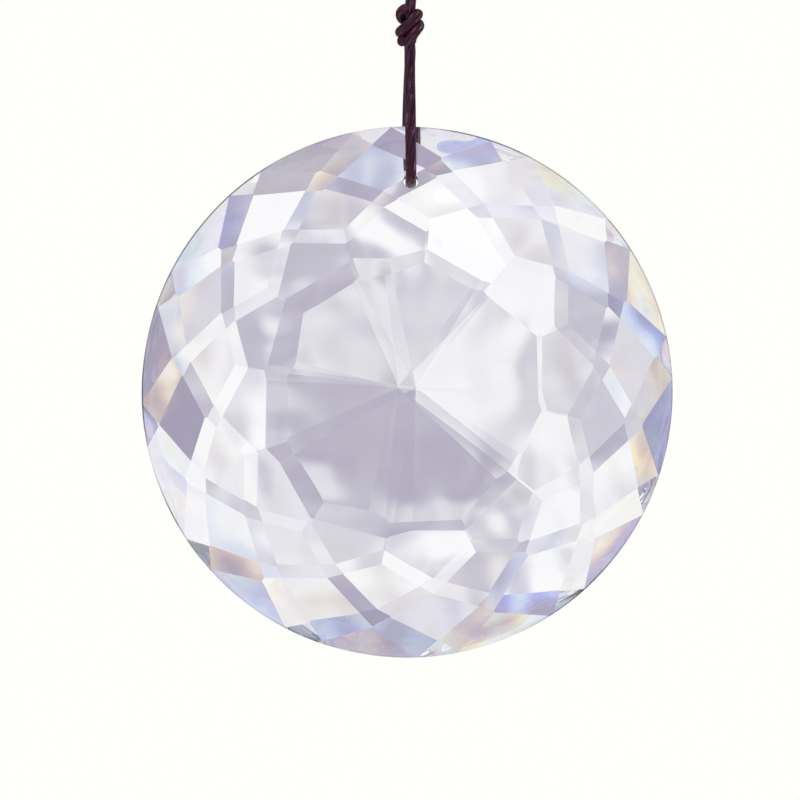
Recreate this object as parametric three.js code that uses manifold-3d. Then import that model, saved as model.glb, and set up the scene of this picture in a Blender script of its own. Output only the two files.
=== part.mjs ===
// A hanging crystal suncatcher: a round, faceted disc of clear crystal, bored near its rim, on a thin waxed
// cord that is doubled through the bore, bound in a knot above the disc, and left as a loop to hang it by.
// Millimetres and degrees, +Z up. The disc faces -Y, and the origin is the inside of the loop's top.
import * as THREE from 'three';
import { mergeVertices } from 'three/addons/utils/BufferGeometryUtils.js';
import Module from 'manifold-3d';

const wasm = await Module();
wasm.setup();

// ---- driving dimensions ----

const discRadius = 37;
const discSides = 144;
const blankThickness = 20;
const discDrop = 96;
const discOffset = -0.5;

const boreRadius = 1.05;
const boreAboveCentre = 29.3;
const boreSides = 24;

const facetsPerRow = 12;
const starTilt = 2.8;
const tiltWander = 0.3;
const turnWander = 0.7;

// The two faces. A face's height is measured where its first row leaves the star in the middle. Each row of
// facets leaves the ones inside it at a radius, on its own centre line, and every other row lies half a step
// round. Each row is about one and a half times as steep as the last, so that the facets meet point to point.
// The rear's rows lie a little nearer the middle than the front's, so there is one more of them.
const frontFace = {
  side: -1,
  height: 5.6,
  turn: 8,
  starTurn: 8,
  apex: [1.2, 0.67],
  rows: [
    { leaves: 18.6, tilt: 8.3, between: true },
    { leaves: 24.3, tilt: 13.1, between: false },
    { leaves: 28.3, tilt: 20.3, between: true },
    { leaves: 33.0, tilt: 28.9, between: false },
  ],
};
const rearFace = {
  side: 1,
  height: 6.4,
  turn: 7.5,
  starTurn: 12.7,
  apex: [-1.05, 0.67],
  rows: [
    { leaves: 17.0, tilt: 7.3, between: true },
    { leaves: 22.2, tilt: 11.5, between: false },
    { leaves: 25.9, tilt: 18.2, between: true },
    { leaves: 30.0, tilt: 29.0, between: false },
    { leaves: 34.4, tilt: 35.9, between: true },
  ],
};

const cordRadius = 0.75;
const cordSides = 8;
const cordSteps = 40;
const joinGap = 0.3;

const knotBottom = 47.9;
const knotTop = 54.3;
const knotCoreSides = 16;
const knotCoreOffset = -0.15;
const knotCoreHalfWidth = 1.35;
const knotCoreHalfDepth = 1.6;
const knotTubeLength = 2.5;
const knotTubeSteps = 6;
const knotTubeOverlap = 0.1;
const strandGap = 0.15;

const hookRadius = 4.25;

const crystalLook = { color: 0xe6e2ec, roughness: 0.02, metalness: 0 };
const cordLook = { color: 0x4a303d, roughness: 0.55, metalness: 0 };

// ---- solids ----

const step = 360 / facetsPerRow;
const radians = THREE.MathUtils.degToRad;

function solidOf(geometry) {
  const bare = geometry.index ? geometry.toNonIndexed() : geometry.clone();
  bare.deleteAttribute('normal');
  bare.deleteAttribute('uv');
  const merged = mergeVertices(bare, 1e-5);
  return new wasm.Manifold(new wasm.Mesh({
    numProp: 3,
    vertProperties: new Float32Array(merged.attributes.position.array),
    triVerts: new Uint32Array(merged.index.array),
  }));
}

function geometryOf(solid) {
  const { numProp, vertProperties, triVerts } = solid.getMesh();
  const places = new Float32Array(triVerts.length * 3);
  triVerts.forEach((vertex, corner) => {
    for (let axis = 0; axis < 3; axis += 1) {
      places[corner * 3 + axis] = vertProperties[vertex * numProp + axis];
    }
  });
  const geometry = new THREE.BufferGeometry();
  geometry.setAttribute('position', new THREE.BufferAttribute(places, 3));
  geometry.computeVertexNormals();
  return geometry;
}

// ---- the crystal disc ----

// A ground plane: which way it faces round the disc (clockwise from the top, seen from the front), how far it
// tilts from the disc's own plane, and how high it stands over the disc's middle on the axis.
function planeAt(turn, tilt, height) {
  return { turn, tilt, height, slope: Math.tan(radians(tilt)) };
}

function surfaceHeight(planes, turn, radius) {
  const heights = planes.map((plane) => (
    plane.height - plane.slope * radius * Math.cos(radians(turn - plane.turn))
  ));
  return Math.min(...heights);
}

// How far one facet of a row is off its true place, from -1 to 1: the disc is ground and polished by hand.
function handError(row, place) {
  const goldenPart = 0.618034;
  return ((row * facetsPerRow + place + 1) * goldenPart % 1) * 2 - 1;
}

// A row of facets that all leave the ones inside them at the same radius and height. The radius is measured
// from the axis, or from a centre that lies off it.
function rowOfPlanes(row, firstTurn, tilt, radius, height, [right, up] = [0, 0]) {
  const planes = [];
  for (let place = 0; place < facetsPerRow; place += 1) {
    const turn = firstTurn + place * step + turnWander * handError(row + 1, place);
    const ownTilt = tilt + tiltWander * handError(row, place);
    const reach = radius + right * Math.sin(radians(turn)) + up * Math.cos(radians(turn));
    planes.push(planeAt(turn, ownTilt, height + Math.tan(radians(ownTilt)) * reach));
  }
  return planes;
}

// The middle of a face is a low star, whose facets meet in a point a little off the axis.
function planesOfFace({ height, turn, starTurn, apex, rows }) {
  const starRise = Math.tan(radians(starTilt)) * rows[0].leaves;
  const planes = rowOfPlanes(0, starTurn, starTilt, 0, height + starRise, apex);
  rows.forEach(({ leaves, tilt, between }, row) => {
    const firstTurn = between ? turn + step / 2 : turn;
    const start = surfaceHeight(planes, firstTurn, leaves);
    planes.push(...rowOfPlanes(row, firstTurn, tilt, leaves, start));
  });
  return planes;
}

// The side of a plane that is ground away, as a block resting on it. side is -1 at the front, 1 at the rear.
function grindingBlock({ turn, tilt, height }, side) {
  const size = discRadius * 4;
  const facing = new THREE.Vector3(
    Math.sin(radians(tilt)) * Math.sin(radians(turn)),
    side * Math.cos(radians(tilt)),
    Math.sin(radians(tilt)) * Math.cos(radians(turn)),
  );
  const block = new THREE.BoxGeometry(size, size, size);
  block.translate(0, size / 2 + height * Math.cos(radians(tilt)), 0);
  block.applyQuaternion(new THREE.Quaternion().setFromUnitVectors(new THREE.Vector3(0, 1, 0), facing));
  return solidOf(block);
}

function discBlank() {
  const reach = blankThickness / 2;
  const profile = [[0, -reach], [discRadius, -reach], [discRadius, reach], [0, reach]];
  return solidOf(new THREE.LatheGeometry(profile.map(([r, y]) => new THREE.Vector2(r, y)), discSides));
}

function boreDrill() {
  const drill = new THREE.CylinderGeometry(boreRadius, boreRadius, blankThickness, boreSides);
  drill.translate(-discOffset, 0, boreAboveCentre);
  return solidOf(drill);
}

function crystalDisc() {
  let disc = discBlank();
  for (const face of [frontFace, rearFace]) {
    for (const plane of planesOfFace(face)) {
      disc = disc.subtract(grindingBlock(plane, face.side));
    }
  }
  return geometryOf(disc.subtract(boreDrill()));
}

// ---- the cord ----

function cordSection() {
  const section = new THREE.Shape();
  for (let side = 0; side < cordSides; side += 1) {
    const angle = (side + 0.5) / cordSides * Math.PI * 2;
    const corner = [cordRadius * Math.cos(angle), cordRadius * Math.sin(angle)];
    if (side === 0) {
      section.moveTo(...corner);
    } else {
      section.lineTo(...corner);
    }
  }
  section.closePath();
  return section;
}

function curveThrough(points) {
  return new THREE.CatmullRomCurve3(points.map((point) => new THREE.Vector3(...point)));
}

function cordAlong(path, steps) {
  return new THREE.ExtrudeGeometry(cordSection(), { extrudePath: path, steps, bevelEnabled: false });
}

// Down from the knot to the bore, through the disc and up its back. Heights are over the bore's axis.
const strandSide = cordRadius + strandGap / 2;
const slingTop = knotBottom - joinGap - boreAboveCentre;
const slingRoute = [
  [-0.15, -strandSide, slingTop],
  [-0.13, -2.2, 15.2],
  [-0.1, -3.55, 12.2],
  [-0.06, -4.9, 9.2],
  [-0.03, -6.2, 6.2],
  [0, -7.05, 4.3],
  [0, -7.3, 3.1],
  [0, -7.05, 1.9],
  [0, -6.4, 0.9],
  [0, -5.4, 0.25],
  [0, -4.2, 0],
  [0, -1.5, 0],
  [0, 2, 0],
  [0, 5, 0],
  [0, 6.2, 0.25],
  [0, 7.2, 0.9],
  [-0.1, 7.85, 1.9],
  [-0.25, 8.1, 3.1],
  [-0.4, 7.8, 4.45],
  [-0.48, 6.9, 6.2],
  [-0.42, 5.4, 9.2],
  [-0.33, 3.9, 12.2],
  [-0.2, 2.4, 15.2],
  [-0.05, strandSide, slingTop],
];

// Up from the knot, one strand to each side of the hook, and over it. Heights are under the loop's inside top.
const loopBottom = knotTop + joinGap - discDrop;
const hookCentre = -hookRadius;
const archRadius = hookRadius + cordRadius;
const loopSide = [
  [0, -strandSide, loopBottom],
  [-0.35, -0.85, loopBottom + 3],
  [-1.2, -0.72, loopBottom + 9],
  [-2.4, -0.5, loopBottom + 18],
  [-3.7, -0.25, loopBottom + 27.5],
];
const archAngles = [188, 165, 140, 115, 90, 65, 40, 15, -8];
const loopArch = archAngles.map((angle) => [
  archRadius * Math.cos(radians(angle)),
  0,
  hookCentre + archRadius * Math.sin(radians(angle)),
]);
const loopRoute = [
  ...loopSide,
  ...loopArch,
  ...loopSide.toReversed().map(([x, y, z]) => [-x, -y, z]),
];

// The strands that show in the knot. Heights are over the knot's middle.
const knotReach = (knotTop - knotBottom) / 2;
const knotRoutes = [
  // From the front of the sling, up to the right, behind the knot and round its upper left.
  [
    [-0.15, -strandSide, -knotReach],
    [-0.15, -0.85, -2.7],
    [0, -1.25, -2],
    [0.35, -1.55, -1.3],
    [0.8, -1.45, -0.65],
    [1.15, -0.6, -0.05],
    [0.9, 0.7, 0.4],
    [-0.15, 1.4, 0.7],
    [-1.15, 0.8, 1.1],
    [-1.35, -0.35, 1.75],
    [-0.9, -0.95, 2.2],
    [-0.45, -0.5, 2.4],
  ],
  // A turn that comes over the right shoulder and crosses the front, down to the left.
  [
    [0.05, 1.2, 1.7],
    [0.8, 0.6, 1.7],
    [0.95, -0.4, 1.55],
    [0.6, -1.3, 1.05],
    [0, -1.75, 0.3],
    [-0.65, -1.6, -0.3],
    [-1.3, -0.9, -0.75],
    [-1.4, 0.1, -0.9],
    [-0.65, 1.1, -0.7],
    [0.25, 1.2, -0.4],
  ],
  // The cut end, which comes out at the lower left.
  [
    [0.45, 0.8, -1.6],
    [-0.45, 0.4, -1.9],
    [-1.05, -0.4, -2.1],
    [-1.25, -0.75, -2.2],
  ],
  // The rear of the sling, and the two strands of the loop.
  [
    [-0.05, strandSide, -knotReach],
    [-0.1, 0.8, -2.4],
    [-0.1, 0.4, 0],
  ],
  [
    [0, -strandSide, knotReach],
    [-0.05, -0.8, 2.6],
    [-0.1, -0.1, 1.2],
  ],
  [
    [0, strandSide, knotReach],
    [-0.05, 0.8, 2.6],
    [-0.1, 0.4, 0.4],
  ],
];

// A short length of a strand at a time is made and joined on, so that no tube crosses itself.
function tubesAlong(path) {
  const length = path.getLength();
  const pieces = Math.ceil(length / knotTubeLength);
  const overlap = knotTubeOverlap / length;
  const tubes = [];
  for (let piece = 0; piece < pieces; piece += 1) {
    const from = Math.max(0, piece / pieces - overlap);
    const to = Math.min(1, (piece + 1) / pieces + overlap);
    const points = [];
    for (let place = 0; place <= knotTubeSteps; place += 1) {
      points.push(path.getPointAt(from + (to - from) * place / knotTubeSteps).toArray());
    }
    tubes.push(cordAlong(curveThrough(points), knotTubeSteps));
  }
  return tubes;
}

// Pulled tight, the strands inside the knot fill it.
function squeezedCore() {
  const core = new THREE.CylinderGeometry(1, 1, (knotReach - cordRadius) * 2, knotCoreSides);
  core.rotateX(Math.PI / 2);
  core.scale(knotCoreHalfWidth, knotCoreHalfDepth, 1);
  core.translate(knotCoreOffset, 0, 0);
  return core;
}

function cordKnot() {
  const tubes = [squeezedCore(), ...knotRoutes.flatMap((route) => tubesAlong(curveThrough(route)))];
  return geometryOf(tubes.map(solidOf).reduce((knot, tube) => knot.add(tube)));
}

// ---- the suncatcher ----

const suncatcher = new THREE.Group();

function addPiece(name, geometry, look, x, z) {
  const piece = new THREE.Mesh(geometry, new THREE.MeshStandardMaterial(look));
  piece.name = name;
  piece.position.set(x, 0, z);
  suncatcher.add(piece);
}

addPiece('crystal_disc', crystalDisc(), crystalLook, discOffset, -discDrop);
addPiece('cord_sling', cordAlong(curveThrough(slingRoute), cordSteps), cordLook, 0, boreAboveCentre - discDrop);
addPiece('cord_knot', cordKnot(), cordLook, 0, (knotTop + knotBottom) / 2 - discDrop);
addPiece('cord_loop', cordAlong(curveThrough(loopRoute), cordSteps), cordLook, 0, 0);

export default suncatcher;
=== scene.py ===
"""A crystal suncatcher: a faceted disc of clear crystal on a waxed cord, hanging in plain soft light."""

import math

import bmesh
import bpy
import numpy as np
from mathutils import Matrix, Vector


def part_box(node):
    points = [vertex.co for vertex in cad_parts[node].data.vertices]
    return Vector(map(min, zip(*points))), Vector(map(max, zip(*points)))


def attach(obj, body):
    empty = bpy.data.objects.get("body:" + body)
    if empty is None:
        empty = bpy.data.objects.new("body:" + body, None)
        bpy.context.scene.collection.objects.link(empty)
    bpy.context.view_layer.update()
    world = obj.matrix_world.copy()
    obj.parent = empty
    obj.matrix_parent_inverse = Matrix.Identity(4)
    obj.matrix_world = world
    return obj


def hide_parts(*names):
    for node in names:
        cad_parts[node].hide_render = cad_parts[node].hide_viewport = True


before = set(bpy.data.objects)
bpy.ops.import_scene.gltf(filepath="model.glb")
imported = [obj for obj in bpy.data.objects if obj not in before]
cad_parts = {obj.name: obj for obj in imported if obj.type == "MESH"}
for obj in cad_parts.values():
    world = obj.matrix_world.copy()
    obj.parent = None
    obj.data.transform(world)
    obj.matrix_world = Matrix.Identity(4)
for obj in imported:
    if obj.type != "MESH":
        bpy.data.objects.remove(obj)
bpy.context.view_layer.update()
mm = 0.001


# ---- Camera ----
# It looks straight at the disc's front, from far enough away that the disc's two faces show at nearly one
# scale. The view is 111.7 mm wide at the disc, and the disc's centre is a little off its middle.

disc_low, disc_high = (Vector(corner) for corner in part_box("crystal_disc"))
disc_centre = (disc_low + disc_high) / 2

view_width = 111.7 * mm
disc_right_of_middle = 1.0 * mm
disc_above_middle = 1.1 * mm
lens = 180
sensor = 36

camera_data = bpy.data.cameras.new("camera")
camera_data.lens = lens
camera_data.sensor_width = sensor
camera = bpy.data.objects.new("camera", camera_data)
bpy.context.collection.objects.link(camera)
camera.location = (
    disc_centre.x - disc_right_of_middle,
    disc_centre.y - view_width * lens / sensor,
    disc_centre.z - disc_above_middle,
)
camera.rotation_euler = (math.pi / 2, 0, 0)
bpy.context.scene.camera = camera


# ---- Sling and hanging loop of the cord ----
# One length of cotton cord, three plies laid up with a slow twist and waxed, 1.5 mm thick. It goes down from
# the knot, in at the bore's front, up the disc's back to the knot again, and on up to a loop for the hook.

cord_diameter = 1.5 * mm
ply_count = 3
ply_relief = 0.012
twist_length = 30.0 * mm
cord_sides = 36
cord_step = 0.16 * mm
blends_per_point = 40


def smooth_path(points, step):
    """Points at about equal steps on a Catmull-Rom curve through the given ones: between two of them, each
    place is their cubic blend, with tangents along the lines that join their neighbours."""
    given = np.array(points, dtype=float)
    padded = np.vstack([2 * given[0] - given[1], given, 2 * given[-1] - given[-2]])
    before, start, end, after = padded[:-3], padded[1:-2], padded[2:-1], padded[3:]
    t = np.linspace(0, 1, blends_per_point, endpoint=False)[:, None, None]
    blend = 0.5 * (
        2 * start
        + (end - before) * t
        + (2 * before - 5 * start + 4 * end - after) * t**2
        + (3 * start - before - 3 * end + after) * t**3
    )
    dense = np.vstack([blend.transpose(1, 0, 2).reshape(-1, 3), given[-1:]])
    run = np.concatenate([[0], np.cumsum(np.linalg.norm(np.diff(dense, axis=0), axis=1))])
    places = np.linspace(0, run[-1], max(2, round(run[-1] / step)) + 1)
    return np.column_stack([np.interp(places, run, dense[:, axis]) for axis in range(3)])


def run_along(path):
    """How far along the path each of its points is."""
    return np.concatenate([[0], np.cumsum(np.linalg.norm(np.diff(path, axis=0), axis=1))])


def unit(vectors):
    """The same directions, each one long."""
    return vectors / np.linalg.norm(vectors, axis=-1, keepdims=True)


def cord_surface(path, side):
    """A cord's skin as a grid of rings: each ring stands square to the path, and its radius swells over
    each ply, r = R * (1 - relief + 2 * relief * |cos(ply angle)|). The plies turn once in a twist length."""
    along = unit(np.gradient(path, axis=0))
    across = unit(side - np.sum(side * along, axis=1, keepdims=True) * along)
    outward = np.cross(along, across)
    run = run_along(path)[:, None]
    angle = np.linspace(0, 2 * np.pi, cord_sides, endpoint=False)[None, :]
    ply_angle = ply_count / 2 * (angle - 2 * np.pi * run / twist_length)
    radius = cord_diameter / 2 * (1 - ply_relief + 2 * ply_relief * np.abs(np.cos(ply_angle)))
    return (
        path[:, None, :]
        + (radius * np.cos(angle))[..., None] * across[:, None, :]
        + (radius * np.sin(angle))[..., None] * outward[:, None, :]
    )


def tube_faces(rings, sides, first):
    """Quads between each ring and the next, and a fan from each end ring to the point that closes it."""
    ring = np.arange(rings - 1)[:, None] * sides
    place = np.arange(sides)[None, :]
    following = (place + 1) % sides
    quads = np.stack([
        ring + place, ring + following, ring + sides + following, ring + sides + place,
    ], axis=-1)
    last = (rings - 1) * sides
    low, high = rings * sides, rings * sides + 1
    edge, next_edge = np.arange(sides), (np.arange(sides) + 1) % sides
    fans = np.vstack([
        np.column_stack([next_edge, edge, np.full(sides, low)]),
        np.column_stack([last + edge, last + next_edge, np.full(sides, high)]),
    ])
    return (quads.reshape(-1, 4) + first).tolist(), (fans + first).tolist()


def cord_piece(name, strands):
    """A mesh of one or more strands, each a path and the direction that its first seam faces. Its UV map
    runs along the cord in turns of the girth, and once round it."""
    points, faces, spots = [], [], []
    first = 0
    for path, side in strands:
        grid = cord_surface(path, np.array(side, dtype=float))
        rings, sides = grid.shape[:2]
        run = run_along(path) / (np.pi * cord_diameter)
        points += [grid.reshape(-1, 3), path[:1], path[-1:]]
        quads, fans = tube_faces(rings, sides, first)
        faces += quads + fans
        u, v = np.repeat(run[:-1], sides), np.tile(np.arange(sides), rings - 1) / sides
        du, dv = np.repeat(np.diff(run), sides), 1 / sides
        spots.append(np.stack([
            np.column_stack([u, v]), np.column_stack([u, v + dv]),
            np.column_stack([u + du, v + dv]), np.column_stack([u + du, v]),
        ], axis=1).reshape(-1, 2))
        spots.append(np.zeros((sides * 3, 2)))
        spots.append(np.full((sides * 3, 2), [run[-1], 0.0]))
        first += rings * sides + 2
    mesh = bpy.data.meshes.new(name)
    mesh.from_pydata(np.vstack(points).tolist(), [], faces)
    along_cord = mesh.uv_layers.new(name="along_cord")
    along_cord.data.foreach_set("uv", np.vstack(spots).astype(np.float32).ravel())
    mesh.shade_smooth()
    piece = bpy.data.objects.new(name, mesh)
    bpy.context.collection.objects.link(piece)
    return piece


bore_height = disc_centre.z + 29.3 * mm
sling_route = np.array([
    [-0.15, -0.825, 18.3],
    [-0.13, -2.2, 15.2],
    [-0.1, -3.55, 12.2],
    [-0.06, -4.9, 9.2],
    [-0.03, -6.2, 6.2],
    [0, -7.05, 4.3],
    [0, -7.3, 3.1],
    [0, -7.05, 1.9],
    [0, -6.4, 0.9],
    [0, -5.4, 0.25],
    [0, -4.2, 0],
    [0, -1.5, 0],
    [0, 2, 0],
    [0, 5, 0],
    [0, 6.2, 0.25],
    [0, 7.2, 0.9],
    [-0.1, 7.85, 1.9],
    [-0.25, 8.1, 3.1],
    [-0.4, 7.8, 4.45],
    [-0.48, 6.9, 6.2],
    [-0.42, 5.4, 9.2],
    [-0.33, 3.9, 12.2],
    [-0.2, 2.4, 15.2],
    [-0.05, 0.825, 18.3],
]) * mm + [0, 0, bore_height]
sling_path = smooth_path(sling_route, cord_step)
sling = cord_piece("cord_sling_waxed", [(sling_path, (1, 0, 0))])

loop_bottom = disc_centre.z + 54.6 * mm
arch_radius = 5.0 * mm
arch_centre = -4.25 * mm
loop_side = np.array([
    [0, -0.825, 0],
    [-0.35, -0.85, 3],
    [-1.2, -0.72, 9],
    [-2.4, -0.5, 18],
    [-3.7, -0.25, 27.5],
]) * mm + [0, 0, loop_bottom]
arch_angles = np.radians([188, 165, 140, 115, 90, 65, 40, 15, -8])
loop_arch = np.column_stack([
    arch_radius * np.cos(arch_angles),
    np.zeros(len(arch_angles)),
    arch_centre + arch_radius * np.sin(arch_angles),
])
loop_route = np.vstack([loop_side, loop_arch, loop_side[::-1] * [-1, -1, 1]])
loop_path = smooth_path(loop_route, cord_step)
loop = cord_piece("cord_loop_waxed", [(loop_path, (0, 1, 0))])


# ---- Knot ----
# An overhand knot of the same cord, pulled tight round both strands of the sling. Its turns climb to the
# right across the front, and its cut end comes out at the lower left.

knot_middle = disc_centre.z + 51.1 * mm
knot_reach = 3.5
first_seam = (0.3, 1, 0.2)
knot_routes = [
    # From the front of the sling, up to the right, behind the knot and round its upper left.
    [
        [-0.15, -0.825, -knot_reach],
        [-0.15, -0.85, -2.7],
        [0, -1.25, -2],
        [0.35, -1.55, -1.3],
        [0.8, -1.45, -0.65],
        [1.15, -0.6, -0.05],
        [0.9, 0.7, 0.4],
        [-0.15, 1.4, 0.7],
        [-1.15, 0.8, 1.1],
        [-1.35, -0.35, 1.75],
        [-0.9, -0.95, 2.2],
        [-0.45, -0.5, 2.4],
    ],
    # A turn that comes over the right shoulder and crosses the front, down to the left.
    [
        [0.05, 1.2, 1.7],
        [0.8, 0.6, 1.7],
        [0.95, -0.4, 1.55],
        [0.6, -1.3, 1.05],
        [0, -1.75, 0.3],
        [-0.65, -1.6, -0.3],
        [-1.3, -0.9, -0.75],
        [-1.4, 0.1, -0.9],
        [-0.65, 1.1, -0.7],
        [0.25, 1.2, -0.4],
    ],
    # The cut end, which comes out at the lower left.
    [
        [0.45, 0.8, -1.6],
        [-0.45, 0.4, -1.9],
        [-1.05, -0.4, -2.1],
        [-1.25, -0.75, -2.2],
    ],
    # The rear of the sling, and the two strands of the loop.
    [
        [-0.05, 0.825, -knot_reach],
        [-0.1, 0.8, -2.4],
        [-0.1, 0.4, 0],
    ],
    [
        [0, -0.825, knot_reach],
        [-0.05, -0.8, 2.6],
        [-0.1, -0.1, 1.2],
    ],
    [
        [0, 0.825, knot_reach],
        [-0.05, 0.8, 2.6],
        [-0.1, 0.4, 0.4],
    ],
]
knot = cord_piece("cord_knot_waxed", [
    (smooth_path(np.array(route) * mm + [0, 0, knot_middle], cord_step), first_seam)
    for route in knot_routes
])


# ---- Waxed cotton ----

class Wire:
    """A number that varies over a surface. Arithmetic on it adds the Math nodes that work it out."""

    def __init__(self, paint, socket):
        self.paint = paint
        self.socket = socket

    def math(self, operation, *others):
        return self.paint.node("ShaderNodeMath", {"operation": operation}, {
            place: value for place, value in enumerate((self, *others))
        })

    def __add__(self, other):
        return self.math("ADD", other)

    __radd__ = __add__

    def __sub__(self, other):
        return self.math("SUBTRACT", other)

    def __rsub__(self, other):
        return self.paint.node("ShaderNodeMath", {"operation": "SUBTRACT"}, {0: other, 1: self})

    def __mul__(self, other):
        return self.math("MULTIPLY", other)

    __rmul__ = __mul__

    def __truediv__(self, other):
        return self.math("DIVIDE", other)

    def limited(self):
        """The number, kept between 0 and 1."""
        return self.math("MAXIMUM", 0.0).math("MINIMUM", 1.0)


class Paint:
    """A node tree under its output node, of a material or of the world."""

    def __init__(self, owner):
        owner.use_nodes = True
        self.tree = owner.node_tree
        self.tree.nodes.clear()

    def node(self, kind, settings, sockets, output=0):
        """Adds a node, sets it up, fills or links its sockets, and gives the asked output as a Wire."""
        made = self.tree.nodes.new(kind)
        for name, value in settings.items():
            setattr(made, name, value)
        for name, value in sockets.items():
            if isinstance(value, Wire):
                self.tree.links.new(value.socket, made.inputs[name])
            else:
                made.inputs[name].default_value = value
        return Wire(self, made.outputs[output]) if made.outputs else None

    def blend(self, factor, first, second):
        """A colour that goes from the first to the second as the factor goes from 0 to 1. The Mix node
        keeps its two colours at places 6 and 7 of its inputs, and the result at place 2 of its outputs."""
        return self.node("ShaderNodeMix", {"data_type": "RGBA"}, {"Factor": factor, 6: first, 7: second}, 2)


fibre_length = 1.6 * mm
fibre_width = 0.3 * mm
fibre_height = 0.1 * mm
rubs_and_glints_per_metre = 420.0
cotton_dark = (0.010, 0.001, 0.005, 1)
cotton_light = (0.080, 0.013, 0.041, 1)
# Painted shade colour for the grooves between the plies.
painted_groove_shade = (0.007, 0.001, 0.004, 1)
# Painted glint colour for the flecks on the fibre crests.
painted_glint_colour = (0.26, 0.11, 0.17, 1)


def waxed_cotton():
    """Dark plum cotton under a skin of wax. Fine fibres lie along the twisted plies, and painted shade
    darkens the grooves between the plies. Pale flecks on the fibre crests are painted glints, and a noise
    varies the wax's roughness."""
    material = bpy.data.materials.new("waxed_cotton")
    paint = Paint(material)
    girth = math.pi * cord_diameter
    along = paint.node("ShaderNodeUVMap", {"uv_map": "along_cord"}, {})
    run = paint.node("ShaderNodeSeparateXYZ", {}, {0: along}, "X")
    around = paint.node("ShaderNodeSeparateXYZ", {}, {0: along}, "Y")
    turned = (around - run * (girth / twist_length)) * (2 * math.pi)
    across = girth / (2 * math.pi * fibre_width)
    fibre_place = paint.node("ShaderNodeCombineXYZ", {}, {
        "X": run * (girth / fibre_length),
        "Y": turned.math("COSINE") * across,
        "Z": turned.math("SINE") * across,
    })
    fibre = paint.node("ShaderNodeTexNoise", {}, {"Vector": fibre_place, "Scale": 1.0, "Detail": 4.0})
    place = paint.node("ShaderNodeTexCoord", {}, {}, "Object")
    wax_rub_and_glint_noise = paint.node("ShaderNodeTexNoise", {}, {"Vector": place, "Scale": rubs_and_glints_per_metre, "Detail": 2.0})
    groove = (turned * (ply_count / 2)).math("COSINE").math("ABSOLUTE")
    plum = paint.blend((fibre * 2.4 - 0.75).limited(), cotton_dark, cotton_light)
    # Painted shade: the grooves between the plies are coloured darker.
    shaded = paint.blend((groove * 3.0).limited(), painted_groove_shade, plum)
    # Painted glints: pale flecks where the fibres and a slow noise are both high.
    painted_glints = ((fibre - 0.56) * 7.0).limited() * ((wax_rub_and_glint_noise - 0.42) * 5.0).limited()
    colour = paint.blend(painted_glints * 0.85, shaded, painted_glint_colour)
    lift = fibre * 0.7 + groove * 0.3
    bump = paint.node("ShaderNodeBump", {}, {"Height": lift, "Strength": 0.6, "Distance": fibre_height})
    shader = paint.node("ShaderNodeBsdfPrincipled", {}, {
        "Base Color": colour,
        "Roughness": wax_rub_and_glint_noise * 0.3 + 0.28,
        "Normal": bump,
        "Specular IOR Level": 0.2,
    })
    paint.node("ShaderNodeOutputMaterial", {}, {"Surface": shader})
    return material


cotton = waxed_cotton()
for piece, node in ((sling, "cord_sling"), (loop, "cord_loop"), (knot, "cord_knot")):
    piece.data.materials.append(cotton)
    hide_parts(node)
    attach(piece, "root")


# ---- Crystal disc ----
# Clear crystal, ground to a net of flat facets on both faces and polished, with the bore drilled through.
# Polishing leaves the facets a little wavy, least so on the star in the middle. It takes the sharpness off
# their edges, most at the girdle and the bore. Near the outline, painted shade greys the crystal in patches.

facet_flatness = 0.3
wall_lean = 0.1
edge_width = 0.3 * mm
facet_edge = 0.4
wave_length = 6.0 * mm
wave_height = 0.24 * mm
flat_middle = 11.0 * mm
flat_edge = 20.0 * mm
flat_wave = 0.35
# Where the painted shade starts to grey the rim, and how fast it deepens.
rim_shade_start = 36.76 * mm
rim_shade_spread = 0.06 * mm
rim_shade_seed = 0.0
rim_shade_patches_per_metre = 55.0
clear_tint = (0.99, 0.985, 1.0, 1)
cool_tint = (0.975, 0.975, 0.99, 1)
# Painted shade colour for the rim.
painted_rim_shade = (0.09, 0.09, 0.11, 1)
glass_ior = 1.52


def polished_disc():
    """The disc's own solid, with its triangles joined to whole facets. Edges where a facet meets a wall are
    rounded in full and those between facets less; the girdle and the bore stay smooth round walls."""
    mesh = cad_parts["crystal_disc"].data.copy()
    mesh.materials.clear()
    solid = bmesh.new()
    solid.from_mesh(mesh)
    bmesh.ops.remove_doubles(solid, verts=solid.verts, dist=0.001 * mm)
    flat = math.radians(facet_flatness)
    bmesh.ops.dissolve_limit(solid, angle_limit=flat, verts=solid.verts, edges=solid.edges)
    rounding = solid.edges.layers.float.new("bevel_weight_edge")
    for face in solid.faces:
        face.smooth = abs(face.normal.y) < wall_lean
    for edge in solid.edges:
        on_wall = all(face.smooth for face in edge.link_faces)
        at_wall = any(face.smooth for face in edge.link_faces)
        edge[rounding] = 0.0 if on_wall else 1.0 if at_wall else facet_edge
        edge.smooth = on_wall
    solid.to_mesh(mesh)
    solid.free()
    piece = bpy.data.objects.new("crystal_disc_polished", mesh)
    bpy.context.collection.objects.link(piece)
    rounded = piece.modifiers.new("rounded_edges", "BEVEL")
    rounded.width = edge_width
    rounded.segments = 2
    rounded.limit_method = "WEIGHT"
    return piece


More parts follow.
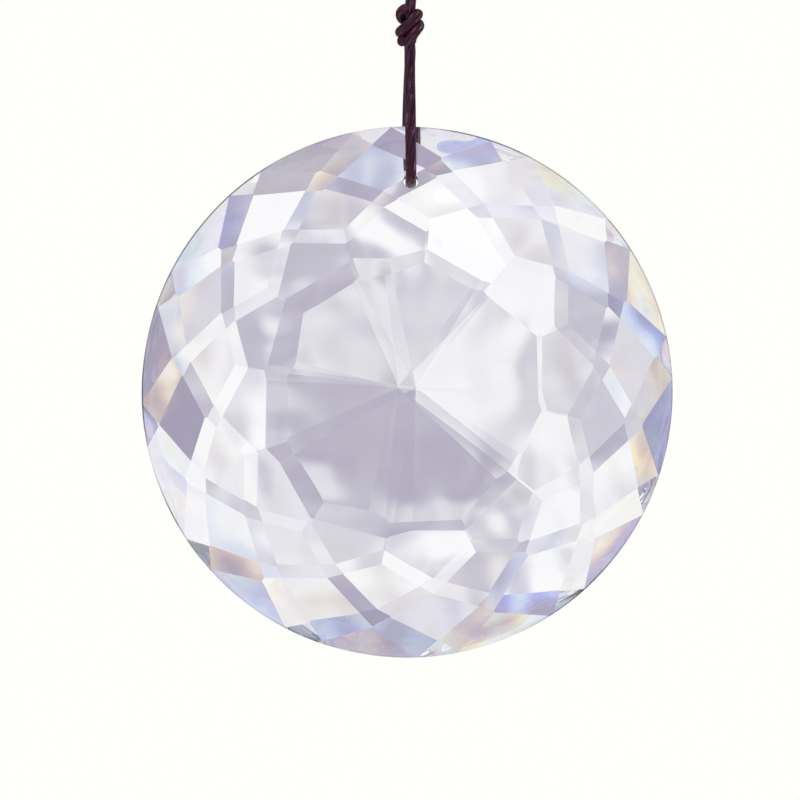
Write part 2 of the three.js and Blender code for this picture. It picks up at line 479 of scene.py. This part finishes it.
def polished_crystal():
    """Clear crystal with the faintest cool tint, and a slow waviness of its polish that grows from the star
    out to the facets. Near the outline, painted shade greys the crystal where a slow noise is high."""
    material = bpy.data.materials.new("polished_crystal")
    paint = Paint(material)
    place = paint.node("ShaderNodeTexCoord", {}, {}, "Object")
    wave = paint.node("ShaderNodeTexNoise", {}, {"Vector": place, "Scale": 1 / wave_length, "Detail": 0.0})
    x = paint.node("ShaderNodeSeparateXYZ", {}, {0: place}, "X") - disc_centre.x
    z = paint.node("ShaderNodeSeparateXYZ", {}, {0: place}, "Z") - disc_centre.z
    from_axis = (x * x + z * z).math("SQRT")
    outer = ((from_axis - flat_middle) / (flat_edge - flat_middle)).limited()
    waved = (wave - 0.5) * (outer * (1 - flat_wave) + flat_wave)
    bump = paint.node("ShaderNodeBump", {}, {"Height": waved, "Strength": 1.0, "Distance": wave_height})
    rim_shade_patches = paint.node("ShaderNodeTexNoise", {"noise_dimensions": "4D"}, {
        "Vector": place, "W": rim_shade_seed, "Scale": rim_shade_patches_per_metre, "Detail": 1.0,
    })
    # Painted shade: grey past the outline radius, in patches of a slow noise.
    painted_rim_mask = ((from_axis - rim_shade_start) / rim_shade_spread).limited() * ((rim_shade_patches - 0.42) * 6.0).limited()
    shader = paint.node("ShaderNodeBsdfPrincipled", {}, {
        "Base Color": paint.blend(painted_rim_mask, paint.blend(wave, clear_tint, cool_tint), painted_rim_shade),
        "Roughness": 0.0,
        "IOR": glass_ior,
        "Transmission Weight": 1.0,
        "Normal": bump,
    })
    paint.node("ShaderNodeOutputMaterial", {}, {"Surface": shader})
    return material


crystal = polished_disc()
crystal.data.materials.append(polished_crystal())
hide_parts("crystal_disc")
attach(crystal, "root")


# ---- Floor and soft light ----
# A pale round table under the suncatcher, a soft box before it and one over it, and an even pale dome of
# light. Through the crystal the dome shows lilac folds, with their edges fringed as a prism would do.

floor_drop = 0.5
floor_radius = 0.6
floor_sides = 96
floor_pale = (0.92, 0.92, 0.90, 1)
floor_shade = (0.88, 0.88, 0.87, 1)
corner_place = (0.25, -0.91, 0.22)
corner_size = 0.35
corner_watts = 0.4
top_place = (-0.25, -0.15, 0.80)
top_size = 0.8
top_watts = 1.5
dome_colour = (0.95, 0.93, 1.0, 1)
dome_on_matt = 1.0
dome_on_gloss = 0.45
backdrop_colour = (1.0, 1.0, 0.97, 1)
fold_crowding = 12.0
fold_spread = 0.3
fold_seed = 11.0
fold_detail = 1.0
fold_range = (0.32, 0.65)
fold_stretch_along = 2.0
fold_depth = (0.62, 0.65, 0.53)
calm_angle = 0.14
calm_width = 0.09
calm = 0.35
fringe = 0.09
fringe_order = (-1.0, -0.4, 1.0)
side_shade = 0.5
side_range = (0.8, 0.98)


def pale_table():
    """A flat round sheet: one face inside the circle (R cos a, R sin a), below the suncatcher."""
    angle = np.linspace(0, 2 * np.pi, floor_sides, endpoint=False)
    height = np.full(floor_sides, -floor_drop)
    edge = np.column_stack([floor_radius * np.cos(angle), floor_radius * np.sin(angle), height])
    mesh = bpy.data.meshes.new("pale_table")
    mesh.from_pydata(edge.tolist(), [], [list(range(floor_sides))])
    table = bpy.data.objects.new("pale_table", mesh)
    bpy.context.collection.objects.link(table)
    material = bpy.data.materials.new("pale_card")
    paint = Paint(material)
    place = paint.node("ShaderNodeTexCoord", {}, {}, "Object")
    grain = paint.node("ShaderNodeTexNoise", {}, {"Vector": place, "Scale": 60.0, "Detail": 4.0})
    shader = paint.node("ShaderNodeBsdfPrincipled", {}, {
        "Base Color": paint.blend(grain, floor_pale, floor_shade),
        "Roughness": 0.7,
    })
    paint.node("ShaderNodeOutputMaterial", {}, {"Surface": shader})
    mesh.materials.append(material)
    return table


pale_table()


def soft_box(name, place, size, watts):
    """A square light that faces the disc's middle, and isn't seen through the crystal."""
    light = bpy.data.lights.new(name, "AREA")
    light.size = size
    light.energy = watts
    box = bpy.data.objects.new(name, light)
    box.visible_transmission = False
    box.location = place
    box.rotation_euler = (disc_centre - box.location).to_track_quat("-Z", "Y").to_euler()
    bpy.context.collection.objects.link(box)


soft_box("corner_box", corner_place, corner_size, corner_watts)
soft_box("top_box", top_place, top_size, top_watts)


def fold_height(paint, towards, stretch):
    """A soft noise over the directions round the disc, with its folds close together straight ahead and
    wide apart to the sides: a direction at r from the middle reads the noise at
    crowding * spread * ln(1 + q / spread), where q = r * (1 + r * stretch). A stretch over 0 pulls the
    folds in towards the middle."""
    x, y, z = (paint.node("ShaderNodeSeparateXYZ", {}, {0: towards}, axis) for axis in "XYZ")
    aside = (x * x + z * z).math("SQRT") + 0.0001
    spread = aside * (1 + aside * stretch) / fold_spread
    reach = (spread + 1).math("LOGARITHM", math.e) / aside * (fold_crowding * fold_spread)
    place = paint.node("ShaderNodeCombineXYZ", {}, {
        "X": x * reach, "Y": y * fold_stretch_along, "Z": z * reach,
    })
    folds = paint.node("ShaderNodeTexNoise", {"noise_dimensions": "4D"}, {
        "Vector": place, "W": fold_seed, "Scale": 1.0, "Detail": fold_detail,
    })
    return paint.node("ShaderNodeMapRange", {"interpolation_type": "SMOOTHSTEP"}, {
        "Value": folds, "From Min": fold_range[0], "From Max": fold_range[1],
    })


def soft_surroundings():
    """The light all round. What went through the crystal sees the folds: each channel is
    (1 - depth * (1 - fold) * its own depth) * (1 - side * side_shade), with the depth eased in a ring
    round the middle. Surfaces see an even dome, and the camera sees a plain off-white."""
    world = bpy.data.worlds.new("soft_surroundings")
    bpy.context.scene.world = world
    paint = Paint(world)
    towards = paint.node("ShaderNodeTexCoord", {}, {}, "Generated")
    x, z = (paint.node("ShaderNodeSeparateXYZ", {}, {0: towards}, axis) for axis in "XZ")
    aside = (x * x + z * z).math("SQRT")
    side = paint.node("ShaderNodeMapRange", {"interpolation_type": "SMOOTHSTEP"}, {
        "Value": aside, "From Min": side_range[0], "From Max": side_range[1],
    })
    off_calm = (aside - calm_angle) / calm_width
    depth = 1 - calm * (off_calm * off_calm * -1.0).math("EXPONENT")
    red, green, blue = (
        (1 - depth * (1 - fold_height(paint, towards, order * fringe)) * deep) * (1 - side * side_shade)
        for order, deep in zip(fringe_order, fold_depth)
    )
    folded = paint.node("ShaderNodeCombineColor", {}, {"Red": red, "Green": green, "Blue": blue})
    through_crystal = paint.node("ShaderNodeBackground", {}, {"Color": folded})
    path = "ShaderNodeLightPath"
    on_matt = paint.node(path, {}, {}, "Is Diffuse Ray")
    on_surfaces = paint.node("ShaderNodeBackground", {}, {
        "Color": dome_colour, "Strength": on_matt * (dome_on_matt - dome_on_gloss) + dome_on_gloss,
    })
    behind = paint.node("ShaderNodeBackground", {}, {"Color": backdrop_colour})
    around = paint.node("ShaderNodeMixShader", {}, {
        0: paint.node(path, {}, {}, "Is Transmission Ray"), 1: on_surfaces, 2: through_crystal,
    })
    seen = paint.node("ShaderNodeMixShader", {}, {
        0: paint.node(path, {}, {}, "Is Camera Ray"), 1: around, 2: behind,
    })
    paint.node("ShaderNodeOutputWorld", {}, {"Surface": seen})


soft_surroundings()

# Light is turned back inside the facets many times, so each path may be long.
bounces = 32
scene = bpy.context.scene
scene.view_settings.view_transform = "Standard"
scene.cycles.max_bounces = bounces
scene.cycles.transmission_bounces = bounces
scene.cycles.glossy_bounces = bounces
